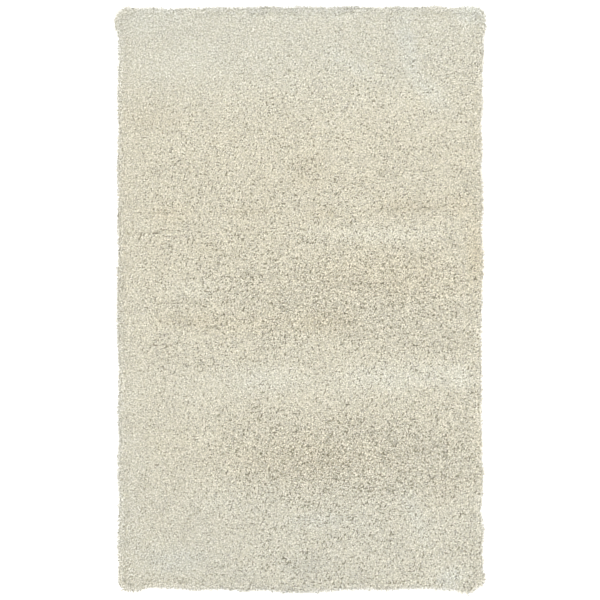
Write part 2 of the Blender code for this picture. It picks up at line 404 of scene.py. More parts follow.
def paintBed(piece, s):
    mesh = piece.data
    count = len(mesh.vertices)
    places = np.empty(count * 3, np.float32)
    mesh.vertices.foreach_get("co", places)
    places = places.reshape(-1, 3)
    tone, warm, calm, lean = np.zeros(count), np.zeros(count), np.zeros(count), np.zeros((count, 3))

    def coverOf(x, y, halfLength, halfWidth, turn):
        dx, dy = places[:, 0] - x, places[:, 1] - y
        c, d = math.cos(math.radians(turn)), math.sin(math.radians(turn))
        away = ((dx * c + dy * d) / halfLength) ** 2 + ((dy * c - dx * d) / halfWidth) ** 2
        return np.exp(-(away ** s["falloff"]))

    for x, y, halfLength, halfWidth, turn, light, warmth in s["patches"]:
        cover = coverOf(x, y, halfLength, halfWidth, turn)
        tone += light * cover
        warm += warmth * cover
    for x, y, halfLength, halfWidth, amount in s["calm"]:
        calm += amount * coverOf(x, y, halfLength, halfWidth, 0.0)
    tone -= s["calmTone"] * calm  # painted darker where the pile is calm, as smooth pile catches more light
    for k, (x, y, z) in enumerate(places):
        spot = Vector((x, y, 0.0))
        tone[k] += s["tone"] * noise.noise(spot / s["toneSpan"])
        warm[k] += s["warmth"] * noise.noise(spot / s["toneSpan"] + Vector(s["warmShift"]))
        across, along = [noise.noise(spot / s["leanSpan"] + Vector(shift)) for shift in s["leanShifts"]]
        lean[k] = (across * s["lean"], along * s["lean"], 0.0)
    atRim = np.arange(count) < len(bed["sections"]) * bed["stations"]
    calm = np.minimum(calm, 1.0)
    for name, values in (("tone", tone), ("warm", warm), ("calm", calm), ("atRim", atRim)):
        attribute = mesh.attributes.new(name, "FLOAT", "POINT")
        attribute.data.foreach_set("value", values.astype(np.float32))
    attribute = mesh.attributes.new("lean", "FLOAT_VECTOR", "POINT")
    attribute.data.foreach_set("vector", lean.astype(np.float32).ravel())


paintBed(pileBed, nap)
print("nap laid:", len(nap["patches"]), "patches")


# Creases: short lines where the pile parts, most of them across the rug.
creases = {
    "wander": 0.004,
    "wanderSpan": 0.05,
    "step": 0.012,
    # (x, y) of the left end, (x, y) of the right end
    "lines": [
        (-0.650, 0.034, -0.597, 0.032), (-0.597, -0.012, -0.370, -0.008), (-0.262, 0.002, -0.168, 0.006),
        (-0.388, -0.116, -0.330, -0.100), (-0.240, 0.102, -0.122, 0.106), (-0.314, 0.000, -0.260, 0.003),
        (0.126, 0.098, 0.264, 0.103), (-0.072, -0.124, 0.024, -0.118), (0.524, 0.120, 0.610, 0.128),
        (0.168, -0.826, 0.268, -0.822), (0.634, -1.090, 0.654, -1.080), (0.668, -1.100, 0.684, -1.068),
        (-0.628, 0.364, -0.520, 0.366), (-0.300, 0.362, -0.170, 0.368), (0.330, 0.378, 0.600, 0.384),
        (-0.520, -0.268, -0.400, -0.272), (-0.560, 0.700, -0.470, 0.708), (0.480, -0.196, 0.620, -0.190),
        (-0.675, 0.279, -0.590, 0.282), (-0.045, -0.122, 0.035, -0.120), (0.330, -0.597, 0.415, -0.594),
        (0.130, -0.157, 0.225, -0.153), (0.460, 0.170, 0.545, 0.174), (-0.160, -0.203, -0.080, -0.199),
        (0.040, 0.068, 0.300, 0.064), (0.515, -0.857, 0.590, -0.853), (-0.215, -0.060, -0.135, -0.058),
        (-0.600, -0.547, -0.510, -0.543), (0.300, -0.216, 0.370, -0.212), (-0.130, 0.020, 0.020, 0.026),
        # along the rug
        (-0.059, -0.185, -0.060, -0.110), (0.129, 0.335, 0.131, 0.400), (-0.022, 0.090, -0.020, 0.160),
        (0.184, -1.045, 0.185, -0.980), (-0.315, -0.010, -0.314, 0.045), (-0.562, 0.315, -0.560, 0.380),
        (0.000, 0.005, 0.025, 0.050), (0.300, -0.995, 0.345, -0.950), (-0.330, -0.620, -0.315, -0.555),
    ],
}


def makeCreases(s):
    points, edges = [], []
    for x0, y0, x1, y1 in s["lines"]:
        count = max(2, round(math.dist((x0, y0), (x1, y1)) / s["step"]))
        for k in range(count + 1):
            spot = Vector((x0, y0, 0.0)).lerp(Vector((x1, y1, 0.0)), k / count)
            spot.y += s["wander"] * noise.noise(spot / s["wanderSpan"])
            if k:
                edges.append((len(points) - 1, len(points)))
            points.append(spot)
    mesh = bpy.data.meshes.new("creases")
    mesh.from_pydata(points, edges, [])
    lines = bpy.data.objects.new("creases", mesh)
    bpy.context.scene.collection.objects.link(lines)
    return lines


creaseLines = makeCreases(creases)


# The tufts: blunt yarn ends of three sides, in a few shapes. Bent ones lie over the shorter straight ones.
tuft = {
    "shapes": 12,
    "straight": 5,
    "tilt": (35, 68),  # degrees from upright of the straight ones
    "length": (0.0080, 0.0120),
    "straightRadius": 0.0021,
    # the straight ones' ends stop at this share of the way from the root's painted shade to the tip's colour
    "straightRise": 0.8,
    "sides": 3,
    "rootDepth": 0.006,
    "knee": (0.0045, 0.0065),  # height of the bend
    "kneeOut": (0.0005, 0.0025),
    "reach": (0.0038, 0.0066),  # from the bend to the end
    "droop": (58, 84),  # degrees from upright of the part beyond the bend
    "swing": 45,  # degrees to either side that the part beyond the bend may turn
    "twist": 25,  # degrees that the strand turns from the bend to its end
    "kneeRadius": 0.0016,
    "endRadius": 0.0024,
    # where each ring stands between the root's painted shade and the tip's colour
    "rises": (0.0, 0.60, 1.0),
    "seed": 11,
}


def makeTuftShapes(s):
    random = np.random.default_rng(s["seed"])
    shelf = bpy.data.collections.new("tuftShapes")
    for k in range(s["shapes"]):
        root = Vector((0.0, 0.0, -s["rootDepth"]))
        knee = Vector((random.uniform(*s["kneeOut"]), 0.0, random.uniform(*s["knee"])))
        droop = math.radians(random.uniform(*s["droop"]))
        swing = math.radians(random.uniform(-s["swing"], s["swing"]))
        flat = math.sin(droop)
        heading = Vector((flat * math.cos(swing), flat * math.sin(swing), math.cos(droop)))
        reach = random.uniform(*s["reach"])
        path = [root, knee, knee + heading * reach]
        radii, rises = [0.0, s["kneeRadius"], s["endRadius"]], s["rises"]
        if k < s["straight"]:
            tilt = math.radians(random.uniform(*s["tilt"]))
            path = [root, Vector((math.sin(tilt), 0.0, math.cos(tilt))) * random.uniform(*s["length"])]
            radii, rises = [0.0, s["straightRadius"]], (0.0, s["straightRise"])
        bm = bmesh.new()
        rise = bm.verts.layers.float.new("rise")
        ply = bm.verts.layers.float_vector.new("ply")
        core = bm.verts.layers.float_vector.new("core")
        girth = bm.verts.layers.float.new("girth")
        along, rings = 0.0, []
        for m, (point, radius) in enumerate(zip(path, radii)):
            ahead = (path[min(m + 1, len(path) - 1)] - path[max(m - 1, 0)]).normalized()
            side = Vector((0.0, 1.0, 0.0)).cross(ahead).normalized()
            other = ahead.cross(side)
            along += (point - path[max(m - 1, 0)]).length
            ring = []
            for j in range(s["sides"] if radius else 1):
                angle = 2 * math.pi * j / s["sides"] + math.radians(s["twist"]) * m
                c, d = (math.cos(angle), math.sin(angle)) if radius else (0.0, 0.0)
                vert = bm.verts.new(point + radius * (c * side + d * other))
                vert[rise] = rises[m]
                vert[ply] = (c, d, along)
                vert[core] = point
                vert[girth] = radius
                ring.append(vert)
            rings.append(ring)
        for j in range(s["sides"]):
            n = (j + 1) % s["sides"]
            bm.faces.new((rings[0][0], rings[1][n], rings[1][j]))
            if len(rings) > 2:
                bm.faces.new((rings[1][j], rings[1][n], rings[2][n], rings[2][j]))
        bm.faces.new(rings[-1])
        bmesh.ops.triangulate(bm, faces=bm.faces)
        bmesh.ops.recalc_face_normals(bm, faces=bm.faces)
        mesh = bpy.data.meshes.new(f"tuft{k}")
        bm.to_mesh(mesh)
        bm.free()
        mesh.shade_smooth()
        shelf.objects.link(bpy.data.objects.new(f"tuft{k}", mesh))
    return shelf


tuftShapes = makeTuftShapes(tuft)


def newTree(name, kind, inputs, outputs):
    tree = bpy.data.node_groups.new(name, kind)
    for label, socket in inputs:
        tree.interface.new_socket(label, in_out="INPUT", socket_type=socket)
    for label, socket in outputs:
        tree.interface.new_socket(label, in_out="OUTPUT", socket_type=socket)
    return tree


def addNode(tree, kind, settings={}, values={}):
    node = tree.nodes.new(kind)
    for key, value in settings.items():
        setattr(node, key, value)
    for key, value in values.items():
        if isinstance(value, bpy.types.NodeSocket):
            tree.links.new(value, node.inputs[key])
        else:
            node.inputs[key].default_value = value
    return node


def addMath(tree, operation, *values):
    node = addNode(tree, "ShaderNodeMath", {"operation": operation}, dict(enumerate(values)))
    return node.outputs[0]


def addVectorMath(tree, operation, *values):
    node = addNode(tree, "ShaderNodeVectorMath", {"operation": operation}, dict(enumerate(values)))
    return node.outputs[0]


def scaled(tree, vector, amount):
    values = {0: vector, "Scale": amount}
    return addNode(tree, "ShaderNodeVectorMath", {"operation": "SCALE"}, values).outputs[0]


def partOf(tree, vector, k):
    return addNode(tree, "ShaderNodeSeparateXYZ", {}, {0: vector}).outputs[k]


def upward(tree, amount):
    return addNode(tree, "ShaderNodeCombineXYZ", {}, {2: amount}).outputs[0]


def mapRange(tree, value, low, high, toLow=0.0, toHigh=1.0, settings={}):
    values = {"Value": value, "From Min": low, "From Max": high, "To Min": toLow, "To Max": toHigh}
    return addNode(tree, "ShaderNodeMapRange", settings, values).outputs[0]


def mixColours(tree, share, first, second):
    return addNode(tree, "ShaderNodeMix", {"data_type": "RGBA"}, {0: share, 6: first, 7: second}).outputs[2]


def addNoise(tree, spot, scale, detail=2.0):
    values = {"Vector": spot, "Scale": scale, "Detail": detail}
    return addNode(tree, "ShaderNodeTexNoise", {}, values).outputs["Fac"]


# These are for the pile's geometry only.
def compare(tree, operation, first, second):
    return addNode(tree, "FunctionNodeCompare", {"operation": operation}, {0: first, 1: second}).outputs[0]


def bothOf(tree, first, second):
    return addNode(tree, "FunctionNodeBooleanMath", {"operation": "AND"}, {0: first, 1: second}).outputs[0]


def randomFloat(tree, low, high, seed):
    values = {2: low, 3: high, "Seed": seed}
    return addNode(tree, "FunctionNodeRandomValue", {"data_type": "FLOAT"}, values).outputs[1]


def randomVector(tree, low, high, seed):
    values = {0: low, 1: high, "Seed": seed}
    return addNode(tree, "FunctionNodeRandomValue", {"data_type": "FLOAT_VECTOR"}, values).outputs[0]


def readNamed(tree, name, kind="FLOAT"):
    return addNode(tree, "GeometryNodeInputNamedAttribute", {"data_type": kind}, {"Name": name}).outputs[0]


def storeNamed(tree, points, name, value, kind="FLOAT"):
    settings = {"data_type": kind, "domain": "POINT"}
    values = {"Geometry": points, "Name": name, "Value": value}
    return addNode(tree, "GeometryNodeStoreNamedAttribute", settings, values).outputs[0]


# Hollows: pits between the tufts, and faint creases along and across the nap. The bed is painted dark there,
# as shade.
hollows = {
    "pitSpan": 0.0102,  # from one pit to the next
    "pitSize": 0.385,  # share of the span
    "pitFloor": 0.4,  # share of the pit that is at its deepest
    "streakSpan": (0.045, 0.0055, 1.0),
    "streaks": {70: 0.65, 0: 0.655},  # degrees from +X, and the noise past which it shows
    "streakSoftness": 0.06,
    "fewerBeyond": 0.45,  # y past which the creases thin out
    "fewerOver": 0.3,  # and how far on they are at their faintest
    "fewest": 0.3,
    "levelFrom": (0.7, 0.9),  # how level the bed is where they begin, and where they are full
    "bare": 0.5,  # how deep into a hollow the tufts stop
    "calmed": 0.4,  # how much less deep the hollows are where the pile is calm
}


def addHollows(tree, place, slope, calm, s):
    # 0 to 1 and only where it is level, for the pile's geometry and for the bed's material alike
    flat = addVectorMath(tree, "MULTIPLY", place, (1.0, 1.0, 0.0))
    streak = 0.0
    for turn, least in s["streaks"].items():
        values = {"Vector": flat, "Angle": -math.radians(turn)}
        across = addNode(tree, "ShaderNodeVectorRotate", {"rotation_type": "Z_AXIS"}, values).outputs[0]
        wave = addNoise(tree, addVectorMath(tree, "DIVIDE", across, s["streakSpan"]), 1.0, 1.0)
        streak = addMath(tree, "MAXIMUM", streak, mapRange(tree, wave, least, least + s["streakSoftness"]))
    thinEnd = s["fewerBeyond"] + s["fewerOver"]
    fewer = mapRange(tree, partOf(tree, place, 1), s["fewerBeyond"], thinEnd, 1.0, s["fewest"])
    streak = addMath(tree, "MULTIPLY", streak, fewer)
    pits = addNode(tree, "ShaderNodeTexVoronoi", {}, {"Vector": flat, "Scale": 1 / s["pitSpan"]})
    pit = mapRange(tree, pits.outputs["Distance"], s["pitSize"], s["pitSize"] * s["pitFloor"])
    deep = addMath(tree, "MULTIPLY_ADD", calm, -s["calmed"], addMath(tree, "MAXIMUM", streak, pit))
    return addMath(tree, "MULTIPLY", deep, mapRange(tree, slope, *s["levelFrom"]))


# The pile: how the tufts stand on the bed. The capitalized ones are the tree's own inputs.
pile = {
    "bands": 6,
    "Spacing": 0.00392,
    "Rim Spacing": 0.0032,
    "Density": 220000.0,
    "Spread": 0.45,  # how far a tuft strays from the nap's lean
    "Grain": 52.0,  # degrees from +X that most tufts lie along, one way or the other
    "Grain Spread": 54.0,
    "Crease Width": 0.0028,
    "Crease Part": 0.5,
    "Crease Drop": 0.30,
    "Crease Break": 0.011,  # a crease is a row of specks, shorter tufts painted in shade, about this far apart
    "Floor": 0.0004,
    "Seed": 23,
    "Rim Spread": 0.9,  # how much the tufts of the rim differ in length
    "size": ((0.75, 0.75, 0.80), (1.02, 1.02, 1.12)),
    "rimLonger": (-0.4, 1.1),
    "rimFrom": (0.9, 0.4),  # how level the bed is where the rim's tufts begin, and where they are full
    "notBelow": -0.8,  # nothing grows where the bed faces further down than this
    "stray": ((-1.0, -1.0, -0.3), (1.0, 1.0, 0.3)),
    "calmSpread": 0.5,
    "stand": 2.0,  # how much the tufts on the level bed keep upright
    "standFrom": (0.7, 0.95),
    "lift": 1.6,  # how much the lowest tufts rise off the floor
    "liftFrom": (0.002, 0.016),
    "speckFrom": (0.42, 0.58),
    "besideCrease": 0.2,  # the smaller, the further from a crease the tufts part
    "softFloor": 0.0012,
}


def scatterRoots(tree, given, s):
    # over the bed but not on its underside, closer together round the rim
    facing = partOf(tree, addNode(tree, "GeometryNodeInputNormal").outputs[0], 2)
    notBelow = compare(tree, "GREATER_THAN", facing, s["notBelow"])
    mark = readNamed(tree, "atRim")
    roots = addNode(tree, "GeometryNodeJoinGeometry")
    for side, spacing in (("LESS_EQUAL", given["Spacing"]), ("GREATER_THAN", given["Rim Spacing"])):
        values = {
            "Mesh": given["Bed"], "Selection": bothOf(tree, compare(tree, side, mark, 0.5), notBelow),
            "Distance Min": spacing, "Density Max": given["Density"], "Seed": given["Seed"],
        }
        settings = {"distribute_method": "POISSON"}
        scatter = addNode(tree, "GeometryNodeDistributePointsOnFaces", settings, values)
        points, normal = scatter.outputs["Points"], scatter.outputs["Normal"]
        tree.links.new(storeNamed(tree, points, "outward", normal, "FLOAT_VECTOR"), roots.inputs[0])
    return roots.outputs[0]


def keepBand(tree, given, roots, place, hollow):
    # only the roots of one band of the rug, and none in a hollow
    along = partOf(tree, place, 1)
    past = compare(tree, "GREATER_EQUAL", along, given["Near"])
    short = compare(tree, "LESS_THAN", along, given["Far"])
    grown = compare(tree, "LESS_THAN", hollow, hollows["bare"])
    values = {"Geometry": roots, "Selection": bothOf(tree, bothOf(tree, past, short), grown)}
    return addNode(tree, "GeometryNodeSeparateGeometry", {"domain": "POINT"}, values).outputs["Selection"]


def findCrease(tree, given, place, s):
    # how deep in a crease each root is, and which way it parts the pile there
    flat = addVectorMath(tree, "MULTIPLY", place, (1.0, 1.0, 0.0))
    lines = addNode(tree, "GeometryNodeObjectInfo", {}, {"Object": given["Creases"]}).outputs["Geometry"]
    values = {"Geometry": lines, "Sample Position": flat}
    nearest = addNode(tree, "GeometryNodeProximity", {"target_element": "EDGES"}, values).outputs
    steps = addMath(tree, "DIVIDE", nearest["Distance"], given["Crease Width"])
    squared = addMath(tree, "POWER", steps, 2.0)
    fold = addMath(tree, "EXPONENT", addMath(tree, "MULTIPLY", squared, -1.0))
    speckled = scaled(tree, flat, addMath(tree, "DIVIDE", 1.0, given["Crease Break"]))
    speck = mapRange(tree, addNoise(tree, speckled, 1.0), *s["speckFrom"])
    fold = addMath(tree, "MULTIPLY", fold, speck)
    beside = addMath(tree, "EXPONENT", addMath(tree, "MULTIPLY", squared, -s["besideCrease"]))
    away = addVectorMath(tree, "NORMALIZE", addVectorMath(tree, "SUBTRACT", flat, nearest["Position"]))
    return fold, scaled(tree, away, addMath(tree, "MULTIPLY", beside, given["Crease Part"]))


def turnTufts(tree, given, place, outward, slope, calm, part, s):
    # out of the bed, leaning with the nap, straying and parted at a crease, each bent along the grain
    upright = upward(tree, mapRange(tree, slope, *s["standFrom"], 0.0, s["stand"]))
    heading = addVectorMath(tree, "NORMALIZE", addVectorMath(tree, "ADD", outward, upright))
    spread = addMath(tree, "MULTIPLY_ADD", calm, -s["calmSpread"], 1.0)
    spread = addMath(tree, "MULTIPLY", given["Spread"], spread)
    stray = scaled(tree, randomVector(tree, *s["stray"], 1), spread)
    lift = upward(tree, mapRange(tree, partOf(tree, place, 2), *s["liftFrom"], s["lift"], 0.0))
    for push in (readNamed(tree, "lean", "FLOAT_VECTOR"), stray, part, lift):
        heading = addVectorMath(tree, "ADD", heading, push)
    stand = addNode(tree, "FunctionNodeAlignRotationToVector", {"axis": "Z"}, {"Vector": heading})
    otherWay = addMath(tree, "MULTIPLY", addMath(tree, "ROUND", randomFloat(tree, 0.0, 1.0, 2)), 180.0)
    offGrain = randomFloat(tree, -1.0, 1.0, 6)
    degrees = addMath(tree, "MULTIPLY_ADD", offGrain, given["Grain Spread"], given["Grain"])
    angle = addMath(tree, "RADIANS", addMath(tree, "ADD", degrees, otherWay))
    spin = addNode(tree, "FunctionNodeAxisAngleToRotation", {}, {"Axis": (0.0, 0.0, 1.0), "Angle": angle})
    values = {0: stand.outputs[0], 1: spin.outputs[0]}
    return addNode(tree, "FunctionNodeRotateRotation", {"rotation_space": "LOCAL"}, values).outputs[0]


def sizeTufts(tree, given, slope, fold, s):
    # shorter in a crease, longer or shorter at the rim
    size = randomVector(tree, *s["size"], 4)
    atRim = mapRange(tree, slope, *s["rimFrom"])
    longer = addMath(tree, "MULTIPLY", randomFloat(tree, *s["rimLonger"], 9), given["Rim Spread"])
    drop = addMath(tree, "SUBTRACT", 1.0, addMath(tree, "MULTIPLY", fold, given["Crease Drop"]))
    drop = addMath(tree, "MULTIPLY_ADD", atRim, longer, drop)
    stretch = addNode(tree, "ShaderNodeCombineXYZ", {}, {0: 1.0, 1: 1.0, 2: drop}).outputs[0]
    return addVectorMath(tree, "MULTIPLY", size, stretch)


def plantTufts(tree, given, roots, turned, size):
    # real strands, and the stance that each was planted with
    values = {4: 0, 5: tuft["shapes"] - 1, "Seed": 3}
    pick = addNode(tree, "FunctionNodeRandomValue", {"data_type": "INT"}, values).outputs[2]
    values = {"Collection": given["Shapes"], "Separate Children": True, "Reset Children": True}
    shapes = addNode(tree, "GeometryNodeCollectionInfo", {}, values).outputs[0]
    values = {
        "Points": roots, "Instance": shapes, "Pick Instance": True, "Instance Index": pick,
        "Rotation": turned, "Scale": size,
    }
    planted = addNode(tree, "GeometryNodeInstanceOnPoints", {}, values).outputs[0]
    stances = addNode(tree, "GeometryNodeCaptureAttribute", {"domain": "INSTANCE"})
    stances.capture_items.new("MATRIX", "Stance")
    tree.links.new(planted, stances.inputs[0])
    tree.links.new(addNode(tree, "GeometryNodeInstanceTransform").outputs[0], stances.inputs[1])
    real = addNode(tree, "GeometryNodeRealizeInstances", {}, {"Geometry": stances.outputs[0]}).outputs[0]
    return real, stances.outputs[1]


def layTufts(tree, given, real, stance, s):
    # a strand whose core would dip too low lies down on the floor instead, as thick as it was
    values = {0: readNamed(tree, "core", "FLOAT_VECTOR"), 1: stance}
    core = addNode(tree, "FunctionNodeTransformPoint", {}, values).outputs[0]
    least = addMath(tree, "ADD", given["Floor"], readNamed(tree, "girth"))
    dip = addMath(tree, "SUBTRACT", partOf(tree, core, 2), least)
    bend = addMath(tree, "SQRT", addMath(tree, "MULTIPLY_ADD", dip, dip, s["softFloor"] ** 2))
    raised = upward(tree, addMath(tree, "MULTIPLY", addMath(tree, "SUBTRACT", bend, dip), 0.5))
    laid = addNode(tree, "GeometryNodeSetPosition", {}, {"Geometry": real, "Offset": raised}).outputs[0]
    for label in ("core", "girth", "outward", "lean"):
        values = {"Geometry": laid, "Name": label}
        laid = addNode(tree, "GeometryNodeRemoveAttribute", {}, values).outputs[0]
    return laid


def makeTuftTree(s):
    numbers = [
        "Near", "Far", "Spacing", "Rim Spacing", "Density", "Spread", "Grain", "Grain Spread",
        "Crease Width", "Crease Part", "Crease Drop", "Crease Break", "Rim Spread", "Floor",
    ]
    inputs = [("Bed", "NodeSocketGeometry"), ("Shapes", "NodeSocketCollection")]
    inputs += [("Creases", "NodeSocketObject"), *[(label, "NodeSocketFloat") for label in numbers]]
    inputs += [("Seed", "NodeSocketInt"), ("Yarn", "NodeSocketMaterial")]
    tree = newTree("growTufts", "GeometryNodeTree", inputs, [("Tufts", "NodeSocketGeometry")])
    given = addNode(tree, "NodeGroupInput").outputs
    place = addNode(tree, "GeometryNodeInputPosition").outputs[0]
    outward = readNamed(tree, "outward", "FLOAT_VECTOR")
    slope = partOf(tree, outward, 2)
    calm = readNamed(tree, "calm")
    hollow = addHollows(tree, place, slope, calm, hollows)
    roots = keepBand(tree, given, scatterRoots(tree, given, s), place, hollow)
    fold, part = findCrease(tree, given, place, s)
    turned = turnTufts(tree, given, place, outward, slope, calm, part, s)
    size = sizeTufts(tree, given, slope, fold, s)
    # what the yarn's colour reads, stored on the roots and carried on to the tufts
    tint, hue = randomFloat(tree, 0.0, 1.0, 5), randomFloat(tree, 0.0, 1.0, 7)
    for label, value in (("tint", tint), ("hue", hue), ("fold", fold)):
        roots = storeNamed(tree, roots, label, value)
    real, stance = plantTufts(tree, given, roots, turned, size)
    laid = layTufts(tree, given, real, stance, s)
    finished = addNode(tree, "GeometryNodeSetMaterial", {}, {"Geometry": laid, "Material": given["Yarn"]})
    addNode(tree, "NodeGroupOutput", {}, {"Tufts": finished.outputs[0]})
    return tree


def growBand(tree, name, near, far, material, s):
    grower = bpy.data.objects.new("grower", pileBed.data)
    bpy.context.scene.collection.objects.link(grower)
    modifier = grower.modifiers.new("growTufts", "NODES")
    modifier.node_group = tree
    values = {**s, "Shapes": tuftShapes, "Creases": creaseLines, "Near": near, "Far": far, "Yarn": material}
    for item in tree.interface.items_tree:
        if item.in_out == "INPUT" and item.name in values:
            modifier[item.identifier] = values[item.name]
    graph = bpy.context.evaluated_depsgraph_get()
    mesh = bpy.data.meshes.new_from_object(grower.evaluated_get(graph), depsgraph=graph)
    grower.modifiers.remove(modifier)
    bpy.data.objects.remove(grower)
    mesh.name = name
    piece = bpy.data.objects.new(name, mesh)
    bpy.context.scene.collection.objects.link(piece)
    return piece


# The nap's colour, shared by the yarn and the bed: painted shade from root to tip, then the nap's tone and
# warmth, with painted shade in the creases and near the floor.
napColour = {
    "rampFrom": (0.05, 0.85),  # where along a tuft the root's painted shade ends and the tip's colour begins
    "tintPower": 6.0,  # the higher, the fewer tufts are much darker than the rest
    "calmTint": 0.6,
    # heights over which the pile near the floor turns to painted shade
    "lowShadeFrom": (0.018, 0.004),
    # painted shade in the creases is browner
    "foldShadeWarmth": 0.1,
    "cast": (0.30, -0.10, -0.80),  # how warmth shifts red, green and blue
}


def makeNapGroup(s):
    depths = ("Tone Depth", "Tint Depth", "Warm Depth", "Hue Depth", "Fold Shade Depth", "Low Shade Depth")
    inputs = [("Root", "NodeSocketColor"), ("Tip", "NodeSocketColor")]
    inputs += [(label, "NodeSocketFloat") for label in depths]
    tree = newTree("napColour", "ShaderNodeTree", inputs, [("Colour", "NodeSocketColor")])
    given = addNode(tree, "NodeGroupInput").outputs
    read = {}
    for name in ("rise", "tint", "hue", "tone", "warm", "fold", "calm"):
        read[name] = addNode(tree, "ShaderNodeAttribute", {"attribute_name": name}).outputs["Fac"]
    # painted shade: the root's darker, browner colour ramps up to the tip's
    ramp = mapRange(tree, read["rise"], *s["rampFrom"], settings={"interpolation_type": "SMOOTHSTEP"})
    mix = mixColours(tree, ramp, given["Root"], given["Tip"])
    # the nap's tone: painted light and shade, and random
    light = addMath(tree, "MULTIPLY_ADD", read["tone"], given["Tone Depth"], 1.0)
    tint = addMath(tree, "POWER", read["tint"], s["tintPower"])
    tint = addMath(tree, "MULTIPLY", tint, given["Tint Depth"])
    tint = addMath(tree, "MULTIPLY", tint, addMath(tree, "MULTIPLY_ADD", read["calm"], -s["calmTint"], 1.0))
    # painted shade in the creases
    fold = addMath(tree, "MULTIPLY", read["fold"], given["Fold Shade Depth"])
    # painted shade on the pile near the floor: darker the lower it is
    height = partOf(tree, addNode(tree, "ShaderNodeTexCoord").outputs["Object"], 2)
    low = addMath(tree, "MULTIPLY", mapRange(tree, height, *s["lowShadeFrom"]), given["Low Shade Depth"])
    for darker in (tint, fold, low):
        light = addMath(tree, "SUBTRACT", light, darker)
    warmth = addMath(tree, "MULTIPLY", read["warm"], given["Warm Depth"])
    hue = addMath(tree, "SUBTRACT", read["hue"], 0.5)
    warmth = addMath(tree, "MULTIPLY_ADD", hue, given["Hue Depth"], warmth)
    warmth = addMath(tree, "MULTIPLY_ADD", read["fold"], s["foldShadeWarmth"], warmth)
    cast = addVectorMath(tree, "ADD", (1.0, 1.0, 1.0), scaled(tree, s["cast"], warmth))
    shade = scaled(tree, addVectorMath(tree, "MULTIPLY", mix, cast), light)
    addNode(tree, "NodeGroupOutput", {}, {"Colour": shade})
    return tree


def newMaterial(name):
    material = bpy.data.materials.new(name)
    material.use_nodes = True
    return material, material.node_tree, material.node_tree.nodes["Principled BSDF"]


def finishMaterial(tree, shader, colour, height, s):
    tree.links.new(colour, shader.inputs["Base Color"])
    values = {"Height": height, "Distance": s["bumpDepth"], "Strength": s["bumpStrength"]}
    tree.links.new(addNode(tree, "ShaderNodeBump", {}, values).outputs[0], shader.inputs["Normal"])
    shader.inputs["Roughness"].default_value = s["roughness"]
    shader.inputs["Specular IOR Level"].default_value = s["specular"]


# Yarn: matt ivory, painted darker and browner towards the roots as shade, with the twist of its plies as
# bumps and painted shade in their grooves.
yarn = {
    "tip": (0.850, 0.819, 0.722, 1.0),
    "root": (0.69, 0.655, 0.522, 1.0),
    "depths": {  # how much each of the group's effects shows; the last two are painted shade, in the creases and on the pile near the floor
        "Tone Depth": 0.060, "Tint Depth": 0.60, "Warm Depth": 0.070,
        "Hue Depth": 0.035, "Fold Shade Depth": 0.80, "Low Shade Depth": 0.27,
    },
    "plies": 1.0,
    "plyPitch": 0.0055,  # of one turn of the plies
    # painted shade in the grooves of the plies' twist
    "plyShade": 0.15,
    "mottleScale": 220.0,
    "mottleShade": 1.1,
    "fibreScale": 1100.0,
    "fibreHeight": 0.8,  # against the plies' own
    "bumpDepth": 0.0007,
    "bumpStrength": 0.6,
    "roughness": 0.95,
    "specular": 0.15,
    "sheen": 0.03,
    "sheenRoughness": 0.6,
}


def makeYarn(s, group):
    material, tree, shader = newMaterial("ivoryYarn")
    values = {"Root": s["root"], "Tip": s["tip"], **s["depths"]}
    colour = addNode(tree, "ShaderNodeGroup", {"node_tree": group}, values).outputs["Colour"]
    ply = addNode(tree, "ShaderNodeAttribute", {"attribute_name": "ply"}).outputs["Vector"]
    x, y, along = addNode(tree, "ShaderNodeSeparateXYZ", {}, {0: ply}).outputs
    around = addMath(tree, "MULTIPLY", addMath(tree, "ARCTAN2", y, x), s["plies"])
    phase = addMath(tree, "MULTIPLY_ADD", along, 2 * math.pi / s["plyPitch"], around)
    ridge = addMath(tree, "ABSOLUTE", addMath(tree, "SINE", addMath(tree, "MULTIPLY", phase, 0.5)))
    spot = addNode(tree, "ShaderNodeTexCoord").outputs["Object"]
    mottle, fibre = [addNoise(tree, spot, s[scale]) for scale in ("mottleScale", "fibreScale")]
    height = addMath(tree, "MULTIPLY_ADD", fibre, s["fibreHeight"], ridge)
    least = 1.0 - s["plyShade"] / 2 - s["mottleShade"] / 2
    # painted shade in the plies' grooves
    shade = addMath(tree, "MULTIPLY_ADD", ridge, s["plyShade"], least)
    shade = addMath(tree, "MULTIPLY_ADD", mottle, s["mottleShade"], shade)
    finishMaterial(tree, shader, scaled(tree, colour, shade), height, s)
    shader.inputs["Sheen Weight"].default_value = s["sheen"]
    shader.inputs["Sheen Roughness"].default_value = s["sheenRoughness"]
    return material


# The bed shows only between the tufts, as packed yarn in the roots' colour, painted shade: darker towards
# and between its ends, and in the hollows.
packing = {
    "root": (0.69, 0.655, 0.522, 1.0),
    # painted shade of the bed in the hollows
    "hollow": (0.16, 0.142, 0.092, 1.0),
    "depths": ("Tone Depth", "Warm Depth", "Low Shade Depth"),  # those that the bed shares with the yarn
    "endScale": 270.0,  # of the yarn ends packed below
    # each packed end is painted lighter in its middle and darker towards its edge, as shade on a rounded end
    "endShade": 0.5,
    "endMiddle": 0.6,
    "bareShade": 1.08,
    "gapShade": 0.45,  # painted shade between the ends
    "gapWidth": 0.28,
    "swayScale": 160.0,
    "sway": 0.008,
    "mottleScale": 500.0,
    "mottleShade": 0.5,
    "fibreScale": 1100.0,
    "fibreHeight": 0.15,
    "bumpDepth": 0.0030,
    "bumpStrength": 1.0,
    "roughness": 0.95,
    "specular": 0.1,
}


